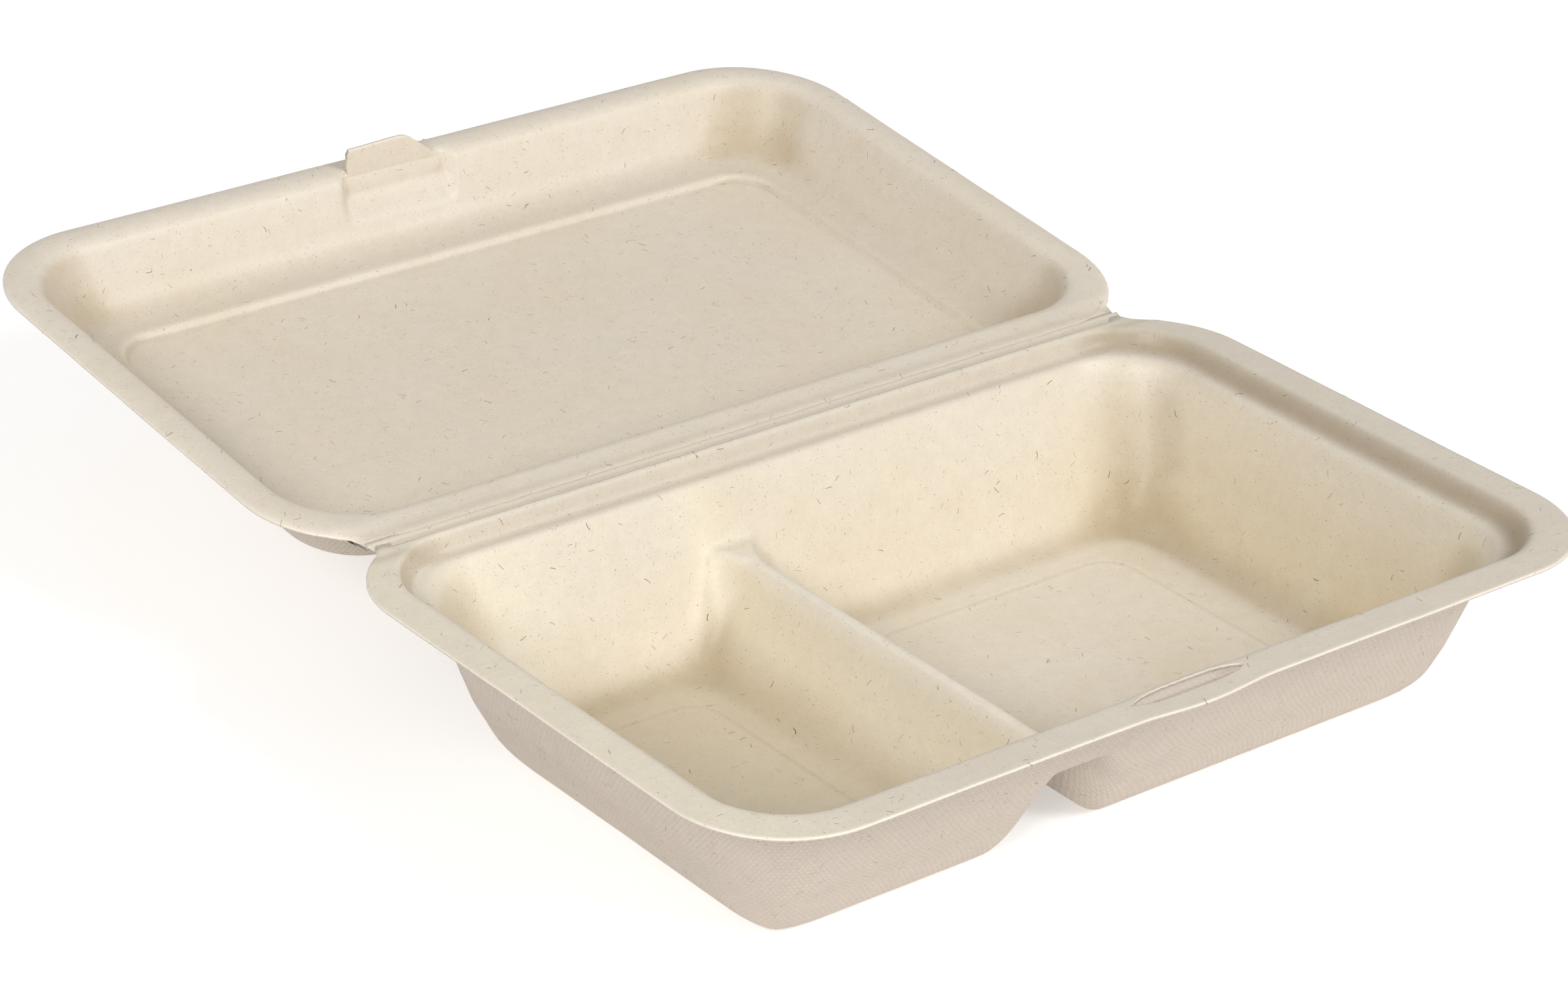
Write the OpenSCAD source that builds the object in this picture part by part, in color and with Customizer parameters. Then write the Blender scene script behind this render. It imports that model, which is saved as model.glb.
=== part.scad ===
// Two compartment clamshell container of moulded bagasse pulp, lying open.
// The tray stands on its base. The lid is moulded with it as one piece and turns at the fold.
// X runs along the fold and +Y from the tray to the lid.
// The origin lies under the middle of the tray, on the table.

/* [Outline] */
// Length of both halves along the fold
length = 232; // [210:1:260]
// Depth of each half, from the fold to its free edge
half_depth = 146; // [135:1:165]
// Outer corner radius of the rims
corner_r = 25.5; // [20:0.5:30]
// Thickness of the pulp
wall = 0.8; // [0.6:0.1:1]

/* [Tray] */
// Depth of the tray, from the top of its rim to the underside of its base
tray_depth = 40.5; // [32:0.5:50]
// Width of the flat rim at the sides and the free edge
rim_w = 8.8; // [7:0.2:11]
// Width of the narrow rim beside the fold
fold_rim_w = 3.8; // [3:0.2:6]
// Drop from the rim to the ledge inside it
ledge_drop = 4.4; // [3:0.2:6]
// Width of the ledge, from the rim's inner edge to the top of the wall
ledge_w = 5.8; // [5:0.2:8]
// Inset of the foot of the side walls
side_foot = 23; // [20:0.5:30]
// Inset of the foot of the wall beside the fold
fold_foot = 24; // [20:0.5:30]
// Inset of the foot of the wall at the free edge
free_foot = 25; // [21:0.5:32]
// Reach of the fillet between the walls and the floor
floor_fillet = 6.5; // [4:0.5:9]

/* [Divider] */
// Place of the divider along the fold, from the middle
divider_x = -19.5; // [-35:0.5:0]
// Width of the divider's top
divider_w = 3; // [2.4:0.2:5]
// Drop from the rim to the divider's top
divider_drop = 18; // [10:0.5:22]
// Steepness of the divider's sides, as rise over run
divider_slope = 2.5; // [2:0.1:4]
// Radius of the corners where the divider runs into the walls
divider_corner_r = 15; // [8:0.5:18]
// Depth of the flat recess in each floor
panel_recess = 0.3; // [0.1:0.05:0.4]
// Margin between the recess and the fillets at its ends
panel_margin = 12; // [6:0.5:14]
// Margin between the recess and the fillets beside the fold and the free edge
panel_edge_margin = 3.5; // [2:0.5:8]

/* [Lid] */
// Depth of the lid, from its rim to the outside of its raised panel
lid_depth = 19.5; // [16:0.5:30]
// Width of the lid's rounded rim
lid_rim_w = 8.4; // [7:0.2:10]
// Width of the lid's rim beside the fold
lid_fold_rim_w = 11.4; // [8:0.2:13]
// Inset of the foot of the lid's walls
lid_foot = 17.5; // [14:0.5:20]
// Inset of the edge of the lid's panel
panel_inset = 24.5; // [24:0.5:32]
// Step from the band around the lid to its panel
panel_step = 1.7; // [1:0.1:2.5]
// Drop of the lid's rim at its outer edge
rim_droop = 0.7; // [0:0.1:1]
// Angle of the lid's rim over the tray's rim, as it lies open
lid_angle = 6; // [0:0.5:10]

/* [Lock] */
// Place of the tongue and its slit along the free edges, from the middle
lock_x = -3.5; // [-10:0.5:10]
// Width of the tongue at the rim
tongue_w = 25; // [20:0.5:26]
// Height of the tongue over the rim
tongue_h = 6; // [4:0.2:8]
// Reach of the hook at the tongue's end
hook = 1; // [0.4:0.1:1.2]
// Length of the slit
slit_l = 30; // [30:0.5:34]
// Widest opening of the slit
slit_gap = 3.6; // [3.6:0.1:4]
// Inset of the slit and the tongue from the free edge
slit_inset = 6; // [5.8:0.1:6.2]
// Roughness of the slit's torn edge
tear = 0.18; // [0:0.02:0.25]
// Outward bulge of the rim beside the slit
slit_bulge = 1.2; // [0:0.1:1.5]

/* [Fold] */
// Half of the length of the web at the fold
web_half = 103; // [95:1:106]
// Gap between the two bodies at the fold line
fold_gap = 0.4; // [0.3:0.1:0.6]
// Gap between the two rims when the lid is closed
rim_gap = 0.3; // [0.3:0.05:0.5]

/* [Hidden] */
$fn = 64;
rim_z = tray_depth;
axis_z = rim_gap / 2;
fold_y = half_depth / 2;
floor_z = wall - tray_depth;
lid_floor_z = wall - lid_depth;
band_z = lid_floor_z + panel_step;
arc_steps = 6;
side_steps = 6;
fillet_steps = 4;
wall_steps = 4;
ledge_in = rim_w + ledge_w;
fold_ledge_in = fold_rim_w + ledge_w * 0.76;
rim_r = corner_r - 6.5;
ledge_r = corner_r - 7.5;
foot_r = 15;
floor_r = foot_r - 3;
shoulder = 1.6;
fall_w = 1.6;
fold_fall_w = 1.2;
ledge_ease = 1.2;
fold_ledge_ease = 1;
ledge_rise = 0.8;
edge_ease = 0.35;
merge_top = 2;
merge_floor = 20;
merge_depth = 18;
merge_clear = 8;
lid_corner_r = corner_r + 1.5;
lid_rim_r = corner_r - 2;
lid_wall_r = corner_r - 6.5;
lid_wall_z = -2.6;
lid_wall_ease = 0.6;
lid_lean = 3.8;
lid_fold_lean = 2.8;
lid_fillet = 4.6;
lid_fillet_in = 1.6;
lid_fold_fillet_in = 1.2;
lid_fillet_reach = 4.4;
panel_r = foot_r - 5;
panel_flat = 9;
pocket_half = 14.2;
pocket_ease = 1.2;
pocket_push = (lid_rim_w - slit_inset) / 2;
pocket_depth = 12;
tongue_t = wall;
web_lap = 3;
DIVIDER_LINES = [-18, -14, -11, -8.5, -6.4, -4.6, -3.2, -2, -1, 0, 1, 2, 3.2, 4.6, 6.4, 8.5, 11, 14, 18];
LOCK_LINES = [-18, -15.4, -14.6, -13.4, -9, -4.5, 0, 4.5, 9, 13.4, 14.6, 15.4, 18];

function mix(a, b, t) = a + (b - a) * t;
function ease(t) = let (c = min(max(t, 0), 1)) c * c * (3 - 2 * c);
function soft_min(a, b, k) = let (h = max(k - abs(a - b), 0) / k) min(a, b) - h * h * k / 4;
function soft_max(a, b, k) = -soft_min(-a, -b, k);

// Inset of a point from the edge of a rounded rectangle, given as its centre, half sizes and radius
function inset(p, c, h, r) =
    let (q = [abs(p[0] - c[0]) - h[0] + r, abs(p[1] - c[1]) - h[1] + r])
    r - norm([max(q[0], 0), max(q[1], 0)]) - min(max(q[0], q[1]), 0);

// Places along a straight side: evenly spread, with the given lines about x = mid
function side_places(x0, x1, mid, lines, left_steps, right_steps) =
    let (a = mid + lines[0], b = mid + lines[len(lines) - 1])
    concat([for (i = [1:left_steps - 1]) mix(x0, a, i / left_steps)],
           [for (l = lines) mid + l],
           [for (i = [1:right_steps - 1]) mix(b, x1, i / right_steps)]);

// Loop around a half, from its right corner at the fold, as points [x, u] with u the distance from the fold
function loop(side, fold, free, r, mid, lines, left_steps, right_steps) =
    let (x1 = length / 2 - side,
         x0 = -x1,
         u0 = fold,
         u1 = half_depth - free,
         places = side_places(x0 + r, x1 - r, mid, lines, left_steps, right_steps),
         n = len(places))
    concat([for (i = [0:arc_steps]) let (a = 90 * i / arc_steps)
                [x1 - r + r * cos(a), u1 - r + r * sin(a)]],
           [for (i = [n - 1:-1:0]) [places[i], u1]],
           [for (i = [0:arc_steps]) let (a = 90 + 90 * i / arc_steps)
                [x0 + r + r * cos(a), u1 - r + r * sin(a)]],
           [for (i = [1:side_steps - 1]) [x0, mix(u1 - r, u0 + r, i / side_steps)]],
           [for (i = [0:arc_steps]) let (a = 180 + 90 * i / arc_steps)
                [x0 + r + r * cos(a), u0 + r + r * sin(a)]],
           [for (i = [0:n - 1]) [places[i], u0]],
           [for (i = [0:arc_steps]) let (a = 270 + 90 * i / arc_steps)
                [x1 - r + r * cos(a), u0 + r + r * sin(a)]],
           [for (i = [1:side_steps - 1]) [x1, mix(u0 + r, u1 - r, i / side_steps)]]);

// Rows of a section: inset at the sides, at the fold and at the free edge, corner radius and height
function row(side, fold, r, z) = [side, fold, side, r, z];
TRAY_ROWS = concat(
    [row(0, fold_gap, corner_r, 0),
     row(rim_w / 2, fold_rim_w / 2, mix(corner_r, rim_r, 0.5), 0),
     row(rim_w - edge_ease * 2, fold_rim_w - edge_ease, rim_r, 0),
     row(rim_w, fold_rim_w, rim_r, -edge_ease),
     row(rim_w + fall_w, fold_rim_w + fold_fall_w, ledge_r, ledge_rise - ledge_drop),
     row(rim_w + fall_w + ledge_ease, fold_rim_w + fold_fall_w + fold_ledge_ease, ledge_r, -ledge_drop),
     row(ledge_in - ledge_ease, fold_ledge_in - fold_ledge_ease, ledge_r, -ledge_drop),
     row(ledge_in, fold_ledge_in, ledge_r, -ledge_drop - shoulder)],
    let (top_z = -ledge_drop - shoulder,
         foot_z = floor_z + floor_fillet * 0.9,
         f = (top_z - foot_z) / (top_z - floor_z),
         top = [ledge_in, fold_ledge_in, ledge_in],
         foot = [side_foot, fold_foot, free_foot],
         reach = foot + [floor_fillet, floor_fillet, floor_fillet])
    concat([for (i = [1:wall_steps]) let (t = f * i / wall_steps)
                concat(mix(top, foot, t), [mix(ledge_r, foot_r, t), mix(top_z, floor_z, t)])],
           [for (i = [1:fillet_steps]) let (t = i / fillet_steps, a = (1 - t) * (1 - t), b = 2 * t * (1 - t))
                concat(a * mix(top, foot, f) + b * foot + t * t * reach,
                       [mix(foot_r, floor_r, t), a * foot_z + (1 - a) * floor_z])]));

LID_TOP = [lid_rim_w + lid_wall_ease, lid_fold_rim_w + lid_wall_ease];
LID_ROWS = concat(
    [row(0, fold_gap, lid_corner_r, -rim_droop),
     row(lid_rim_w * 0.2, lid_fold_rim_w * 0.2, corner_r, -rim_droop * 0.25),
     row(lid_rim_w * 0.45, lid_fold_rim_w * 0.45, lid_rim_r, 0),
     row(lid_rim_w * 0.7, lid_fold_rim_w * 0.75, mix(lid_rim_r, lid_wall_r, 0.4), lid_wall_z * 0.05),
     row(lid_rim_w * 0.86, lid_fold_rim_w * 0.9, mix(lid_rim_r, lid_wall_r, 0.7), lid_wall_z * 0.22),
     row(lid_rim_w, lid_fold_rim_w, mix(lid_rim_r, lid_wall_r, 0.9), lid_wall_z * 0.55),
     row(LID_TOP[0], LID_TOP[1], lid_wall_r, lid_wall_z)],
    let (foot_z = band_z + lid_fillet,
         foot = [lid_foot - lid_lean, lid_foot - lid_fold_lean],
         bend = [lid_foot - lid_fillet_in, lid_foot - lid_fold_fillet_in],
         reach = lid_foot + lid_fillet_reach)
    concat([for (i = [1:wall_steps - 1]) let (t = i / wall_steps, m = mix(LID_TOP, foot, t))
                row(m[0], m[1], mix(lid_wall_r, foot_r, t), mix(lid_wall_z, foot_z, t))],
           [for (i = [0:fillet_steps]) let (t = i / fillet_steps, a = (1 - t) * (1 - t), b = 2 * t * (1 - t),
                                            m = a * foot + b * bend + t * t * [reach, reach])
                row(m[0], m[1], mix(foot_r, floor_r, t), a * foot_z + (1 - a) * band_z)]),
    [for (p = [[-fall_w, band_z], [-edge_ease, band_z], [edge_ease, lid_floor_z], [fall_w, lid_floor_z],
               [panel_flat, lid_floor_z]])
        row(panel_inset + p[0], panel_inset + p[0], panel_r - p[0] / 4, p[1])]);

// The same rows moved out by t along the normal of the section
function outer_rows(rows, t) =
    [for (i = [0:len(rows) - 1])
        let (a = rows[max(i - 1, 0)],
             b = rows[min(i + 1, len(rows) - 1)],
             d = [b[0] - a[0], b[4] - a[4]] / norm([b[0] - a[0], b[4] - a[4]]),
             s = i == 0 ? 0 : t * d[1])
        [rows[i][0] + s, rows[i][1] + s, rows[i][2] + s, rows[i][3] - s,
         rows[i][4] - t * (i == 0 ? 1 : d[0])]];

// Height of the divider at a point of the tray, with t the distance from the inner face to this face
function divider_height(p, t) =
    let (left = -length / 2 + ledge_in,
         right = length / 2 - ledge_in,
         back = fold_ledge_in + 2,
         front = half_depth - ledge_in - 1,
         lo = divider_x - divider_w / 2,
         hi = divider_x + divider_w / 2,
         mid_u = (back + front) / 2,
         half_u = (front - back) / 2,
         small = inset(p, [(left + lo) / 2, mid_u], [(lo - left) / 2, half_u], divider_corner_r),
         large = inset(p, [(hi + right) / 2, mid_u], [(right - hi) / 2, half_u], divider_corner_r),
         deep = max(small, large),
         slant = t * sqrt(1 + divider_slope * divider_slope))
    soft_min(-divider_drop - t, -divider_drop - divider_slope * deep - slant, merge_top);

// Height of a tray face: the section's height, raised where the divider stands higher
function tray_height(z, p, t) =
    let (k = mix(merge_top, merge_floor, ease((-z - divider_drop) / merge_depth)))
    z > -divider_drop + merge_clear ? z : soft_max(z, divider_height(p, t), k);

// Outward bulge of the tray's rim beside the slit, and push of the lid's wall behind the tongue
function bulge(p, row) = row[0] < slit_inset && p[1] > half_depth / 2
    ? slit_bulge * (1 - ease(abs(p[0] - lock_x) / slit_l * 1.6)) * (1 - row[0] / slit_inset)
    : 0;
function pocket(p, row) = p[1] > half_depth / 2 && row[0] > slit_inset && row[4] > -pocket_depth
    ? pocket_push * (1 - ease((abs(p[0] - lock_x) - pocket_half) / pocket_ease))
        * (1 - ease(-row[4] / pocket_depth))
    : 0;

// Grid inside the last loop, spanned between its fold side, free side, left side and right side
function span(f, b, l, r) =
    let (nf = len(f) - 1, nl = len(l) - 1)
    [for (j = [0:nl]) [for (i = [0:nf])
        let (u = (f[i][0] - f[0][0]) / (f[nf][0] - f[0][0]),
             v = (l[j][1] - l[0][1]) / (l[nl][1] - l[0][1]))
        f[i] * (1 - v) + b[i] * v + l[j] * (1 - u) + r[j] * u
            - f[0] * (1 - u) * (1 - v) - f[nf] * u * (1 - v) - b[0] * (1 - u) * v - b[nf] * u * v]];
function quad(a, b, c, d) = [[a, b, c], [a, c, d]];

// Closed shell between an inner and an outer stack of loops, with a grid across the last loop of each.
// shape(p, row, t) gives the point of a face over the plan point p, t from the inner face.
module shell(row_sets, offsets, plan, shape) {
    plans = [for (rows = row_sets) [for (row = rows) plan(row)]];
    n = len(plans[0][0]);
    last = len(row_sets[0]) - 1;
    places = (n - 4 * (arc_steps + 1) - 2 * (side_steps - 1)) / 2;
    nx = arc_steps + 1 + places;
    ny = arc_steps + side_steps;
    free_left = nx + arc_steps / 2;
    fold_left = free_left + ny;
    fold_right = fold_left + nx;
    grids = [for (loops = plans) let (ring = loops[last])
        span([for (i = [0:nx]) ring[fold_left + i]],
             [for (i = [0:nx]) ring[free_left - i]],
             [for (j = [0:ny]) ring[fold_left - j]],
             [for (j = [0:ny]) ring[(fold_right + j) % n]])];
    layer = (last + 1) * n + (nx - 1) * (ny - 1);
    ring_id = function(k) last * n + k % n;
    grid_id = function(i, j)
        j == 0 ? ring_id(fold_left + i) :
        j == ny ? ring_id(free_left - i) :
        i == 0 ? ring_id(fold_left - j) :
        i == nx ? ring_id(fold_right + j) :
        (last + 1) * n + (j - 1) * (nx - 1) + i - 1;
    points = [for (s = [0, 1]) each concat(
        [for (k = [0:last]) for (p = plans[s][k]) shape(p, row_sets[s][k], offsets[s])],
        [for (j = [1:ny - 1]) for (i = [1:nx - 1]) shape(grids[s][j][i], row_sets[s][last], offsets[s])])];
    inner = concat(
        [for (k = [0:last - 1]) for (i = [0:n - 1]) let (j = (i + 1) % n)
            each quad(k * n + i, (k + 1) * n + i, (k + 1) * n + j, k * n + j)],
        [for (j = [0:ny - 1]) for (i = [0:nx - 1])
            each quad(grid_id(i, j), grid_id(i, j + 1), grid_id(i + 1, j + 1), grid_id(i + 1, j))]);
    outer = [for (f = inner) [f[2] + layer, f[1] + layer, f[0] + layer]];
    edge = [for (i = [0:n - 1]) let (j = (i + 1) % n) each quad(j, j + layer, i + layer, i)];
    polyhedron(points = points, faces = concat(inner, outer, edge), convexity = 6);
}

// Flat web that fills the notch between the two rims at each end of the fold
module web_ends(arc_centre_u, arc_radius, top_z) {
    reach = length / 2 - arc_radius;
    arc_u = arc_centre_u - sqrt(arc_radius * arc_radius - (web_half - reach) * (web_half - reach));
    for (s = [-1, 1])
        translate([0, 0, top_z - wall])
            linear_extrude(wall)
                polygon([[s * (reach - web_lap), fold_gap],
                         [s * web_half, fold_gap],
                         [s * (web_half + 0.6), arc_u],
                         [s * (web_half + 0.4), arc_u + 1.2],
                         [s * (reach - web_lap), fold_gap + 1.2]]);
}

// Outline of the slit in the tray's rim: a long lens with one torn edge, in the plane of the rim
module slit() {
    half = slit_l / 2;
    cuts = 24;
    along = [for (i = [0:cuts]) -1 + 2 * i / cuts];
    outer_edge = [for (a = along) [lock_x + half * a, slit_gap / 2 * (1 - pow(a, 4))]];
    torn_edge = [for (i = [cuts - 1:-1:1]) let (a = along[i])
        [lock_x + half * a,
         -(slit_gap / 2 + tear * (sin(i * 97) + sin(i * 171) * 0.6)) * (1 - pow(a, 4))]];
    translate([0, half_depth - slit_inset, -2 * wall])
        linear_extrude(4 * wall)
            polygon(concat(outer_edge, torn_edge));
}

// Tongue that stands on the lid's free edge, hooked at one end and sloping at the other
module tongue() {
    half = tongue_w / 2;
    root = wall * 1.1;
    translate([lock_x, half_depth - slit_inset, -root])
        rotate([90, 0, 0])
            linear_extrude(tongue_t)
                polygon([[-half, 0],
                         [-half, root + tongue_h * 0.42],
                         [-half - hook, root + tongue_h * 0.62],
                         [-half - hook * 0.9, root + tongue_h * 0.78],
                         [-half + 0.8, root + tongue_h * 0.94],
                         [half * 0.28, root + tongue_h],
                         [half * 0.42, root + tongue_h * 0.95],
                         [half, root + 1.2],
                         [half, 0]]);
}

// Flat recess in a compartment's floor, between two places along the fold
module floor_panel(x0, x1) {
    u0 = fold_foot + floor_fillet + panel_edge_margin;
    u1 = half_depth - free_foot - floor_fillet - panel_edge_margin;
    r = foot_r - 7;
    translate([x0, u0, floor_z - panel_recess])
        linear_extrude(2 * wall)
            union() {
                translate([r, 0])
                    square([x1 - x0 - 2 * r, u1 - u0]);
                translate([0, r])
                    square([x1 - x0, u1 - u0 - 2 * r]);
                for (x = [r, x1 - x0 - r], u = [r, u1 - u0 - r])
                    translate([x, u])
                        circle(r);
            }
}

module tray() {
    panel_side = length / 2 - side_foot - floor_fillet - panel_margin;
    panel_gap = divider_w / 2 + (tray_depth - divider_drop) / divider_slope + panel_margin;
    color("#E4D8C1")
        translate([0, fold_y, rim_z])
            mirror([0, 1, 0])
                difference() {
                    union() {
                        shell([TRAY_ROWS, outer_rows(TRAY_ROWS, wall)], [0, wall],
                              function(row)
                                  loop(row[0], row[1], row[2], row[3], divider_x, DIVIDER_LINES, 4, 7),
                              function(p, row, t) [p[0], p[1] + bulge(p, row), tray_height(row[4], p, t)]);
                        web_ends(corner_r + fold_gap, corner_r, 0);
                    }
                    slit();
                    floor_panel(-panel_side, divider_x - panel_gap);
                    floor_panel(divider_x + panel_gap, panel_side);
                }
}

module lid() {
    color("#DDD0BA")
        translate([0, fold_y, rim_z + axis_z])
            rotate([lid_angle, 0, 0])
                translate([0, 0, -axis_z])
                    union() {
                        shell([LID_ROWS, outer_rows(LID_ROWS, wall)], [0, wall],
                              function(row) loop(row[0], row[1], row[2], row[3], lock_x, LOCK_LINES, 5, 5),
                              function(p, row, t) [p[0], p[1] + pocket(p, row), row[4]]);
                        web_ends(lid_corner_r + fold_gap, lid_corner_r, -rim_droop);
                        tongue();
                    }
}

tray();
lid();
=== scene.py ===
# %% [markdown]
# # A clamshell tray of moulded plant pulp
#
# The real object is one thin shell of pressed sugar cane fibre. A wet mat of pulp is
# sucked onto a wire screen and pressed with a smooth hot tool. The face that the food
# touches comes out smooth and a little shiny, and the other face keeps the weave of the
# screen. The shell has a deep half with two compartments, a shallow lid, and a fold
# between them that was pressed thin.
#
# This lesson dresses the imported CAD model. Every length below is in millimetres and is
# turned into metres where it enters Blender, so the numbers read like a drawing.

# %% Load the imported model
import math
import bpy
import numpy as np
from mathutils import Matrix, Vector


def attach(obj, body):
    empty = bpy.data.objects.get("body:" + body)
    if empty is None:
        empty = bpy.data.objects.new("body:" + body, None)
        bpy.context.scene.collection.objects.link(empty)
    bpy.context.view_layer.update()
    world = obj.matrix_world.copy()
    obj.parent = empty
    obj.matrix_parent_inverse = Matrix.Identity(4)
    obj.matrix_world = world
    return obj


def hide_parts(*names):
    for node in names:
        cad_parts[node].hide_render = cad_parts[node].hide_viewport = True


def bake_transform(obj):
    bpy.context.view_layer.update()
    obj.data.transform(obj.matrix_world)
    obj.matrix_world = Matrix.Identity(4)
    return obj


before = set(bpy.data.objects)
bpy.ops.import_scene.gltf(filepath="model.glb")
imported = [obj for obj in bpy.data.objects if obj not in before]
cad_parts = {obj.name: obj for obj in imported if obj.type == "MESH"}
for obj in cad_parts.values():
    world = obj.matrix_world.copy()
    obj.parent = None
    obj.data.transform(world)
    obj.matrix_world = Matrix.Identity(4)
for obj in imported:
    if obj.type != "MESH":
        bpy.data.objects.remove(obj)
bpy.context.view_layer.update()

# %% [markdown]
# ## Sizes
#
# The two halves share their outline. Positions are written in the plane of a half: x runs
# along the fold, u is the distance from the fold, and z is the height over the rim. These
# are the sizes of the solid model, so the dressed shell lies on it.

# %% Sizes of both halves
MM = 0.001
LENGTH = 232.0
HALF_DEPTH = 146.0
CORNER_R = 25.5
WALL = 0.8
FOLD_Y = HALF_DEPTH / 2
FOLD_GAP = 0.4
WEB_HALF = 103.0

TRAY_DEPTH = 40.5
RIM_W = 8.8
FOLD_RIM_W = 3.8
LEDGE_DROP = 4.4
LEDGE_W = 5.8
SIDE_FOOT = 23.0
FOLD_FOOT = 24.0
FREE_FOOT = 25.0
FLOOR_FILLET = 6.5
FLOOR_Z = WALL - TRAY_DEPTH

DIVIDER_X = -19.5
DIVIDER_W = 3.0
DIVIDER_DROP = 18.0
DIVIDER_SLOPE = 2.5
DIVIDER_CORNER_R = 15.0
MERGE_TOP, MERGE_FLOOR = 2.0, 20.0

LID_DEPTH = 19.5
LID_RIM_W = 8.4
LID_FOLD_RIM_W = 11.4
LID_FOOT = 17.5
PANEL_INSET = 24.5
PANEL_STEP = 1.7
RIM_DROOP = 0.7
LID_FLOOR_Z = WALL - LID_DEPTH
BAND_Z = LID_FLOOR_Z + PANEL_STEP
LID_ANGLE = math.radians(6)
AXIS_Z = 0.15

LOCK_X = -3.5
TONGUE_W = 25.0
TONGUE_H = 6.0
TONGUE_T = WALL
HOOK = 1.0
SLIT_L = 30.0
SLIT_GAP = 3.6
SLIT_INSET = 6.0
SLIT_BULGE = 1.2
POCKET_HALF = 14.2
POCKET_PUSH = 1.6
print("each half measures", LENGTH, "by", HALF_DEPTH, "mm, and the pulp is", WALL, "mm thick")

# %% [markdown]
# ## Wires
#
# Geometry trees and materials here are mostly sums. A Wire stands for one output socket,
# and the signs + - * / and ** between wires and numbers add Math nodes, so a formula can be
# read as a formula. Every other node comes from one method, which takes the node's type,
# its settings and the values or links of its sockets.

# %% Wires and benches
class Wire:
    """One output socket of a tree."""

    def __init__(self, bench, socket):
        self.bench, self.socket = bench, socket

    def __add__(self, other):
        return self.bench.math("ADD", self, other)

    def __radd__(self, other):
        return self.bench.math("ADD", other, self)

    def __sub__(self, other):
        return self.bench.math("SUBTRACT", self, other)

    def __rsub__(self, other):
        return self.bench.math("SUBTRACT", other, self)

    def __mul__(self, other):
        return self.bench.math("MULTIPLY", self, other)

    def __rmul__(self, other):
        return self.bench.math("MULTIPLY", other, self)

    def __truediv__(self, other):
        return self.bench.math("DIVIDE", self, other)

    def __pow__(self, other):
        return self.bench.math("POWER", self, other)

    def __abs__(self):
        return self.bench.math("ABSOLUTE", self)


class Bench:
    """Adds nodes to one tree."""

    def __init__(self, tree):
        self.tree = tree
        tree.nodes.clear()

    def node(self, kind, settings=None, sockets=None):
        made = self.tree.nodes.new(kind)
        for name, value in (settings or {}).items():
            setattr(made, name, value)
        for name, value in (sockets or {}).items():
            if isinstance(value, Wire):
                self.tree.links.new(value.socket, made.inputs[name])
            else:
                made.inputs[name].default_value = value
        return made

    def wire(self, kind, settings=None, sockets=None, output=0):
        return Wire(self, self.node(kind, settings, sockets).outputs[output])

    def math(self, operation, *values):
        return self.wire("ShaderNodeMath", {"operation": operation}, dict(enumerate(values)))

    def vector_math(self, operation, *values):
        return self.wire("ShaderNodeVectorMath", {"operation": operation},
                         dict(enumerate(values)))

    def least(self, a, b):
        return self.math("MINIMUM", a, b)

    def most(self, a, b):
        return self.math("MAXIMUM", a, b)

    def clamp(self, value):
        return self.wire("ShaderNodeMath", {"operation": "ADD", "use_clamp": True},
                         {0: value, 1: 0.0})

    def above(self, a, b):
        return self.math("GREATER_THAN", a, b)

    def ease(self, t):
        """0 below 0, 1 above 1, and a smooth step between."""
        return self.wire("ShaderNodeMapRange", {"interpolation_type": "SMOOTHSTEP"}, {0: t})

    def between(self, a, b, t):
        return a + (b - a) * t

    def vector(self, x, y, z):
        return self.wire("ShaderNodeCombineXYZ", None, {0: x, 1: y, 2: z})

    def parts(self, vector):
        split = self.node("ShaderNodeSeparateXYZ", None, {0: vector})
        return [Wire(self, socket) for socket in split.outputs]

    def blend(self, factor, a, b, mode="MIX"):
        """Mixes two colours."""
        return self.wire("ShaderNodeMix", {"data_type": "RGBA", "blend_type": mode},
                         {0: factor, 6: a, 7: b}, 2)


print("wires and benches are ready")

# %% [markdown]
# ## Sections
#
# A half of the shell is a stack of rounded rectangles, from the middle of its floor up the
# wall, over the rim, round the cut edge, and back down the outside. Each rectangle is one
# row: its inset at the sides, at the fold and at the free edge, its corner radius, and its
# height. A few rows fix the section, and cutting their corners a few times rounds it the way
# a hot press rounds pulp. The outside is the inside moved out by the thickness.

# %% Rows of a section
def cut_corners(rows, rounds):
    """Rounds a chain of rows by cutting its corners, with the two ends kept."""
    for _ in range(rounds):
        cut = [rows[0]]
        for a, b in zip(rows[:-1], rows[1:]):
            cut += [a * 0.75 + b * 0.25, a * 0.25 + b * 0.75]
        rows = np.array(cut + [rows[-1]])
    return rows


def spread_rows(rows, step, tight):
    """Resamples a chain of rows at even steps, closer in the tight band of insets."""
    dense = np.linspace(0, len(rows) - 1, 12 * len(rows))
    rows = np.stack([np.interp(dense, np.arange(len(rows)), rows[:, k]) for k in range(5)], 1)
    run = np.hypot(np.diff(rows[:, 0]), np.diff(rows[:, 4]))
    low, high, times = tight
    run[(rows[:-1, 0] > low) & (rows[:-1, 0] < high)] *= times
    place = np.concatenate([[0], np.cumsum(run)])
    count = int(place[-1] / step)
    even = np.linspace(0, place[-1], count + 1)
    return np.stack([np.interp(even, place, rows[:, k]) for k in range(rows.shape[1])], 1)


def moved_out(rows, t):
    """The same rows, moved out by t along the normal of the section."""
    before, after = np.roll(rows, 1, 0), np.roll(rows, -1, 0)
    before[0], after[-1] = rows[0], rows[-1]
    d = (after - before)[:, [0, 4]]
    d /= np.linalg.norm(d, axis=1, keepdims=True)
    out = rows.copy()
    out[:, :3] += t * d[:, 1:2]
    out[:, 3] -= t * d[:, 1]
    out[:, 4] -= t * d[:, 0]
    return out


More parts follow.
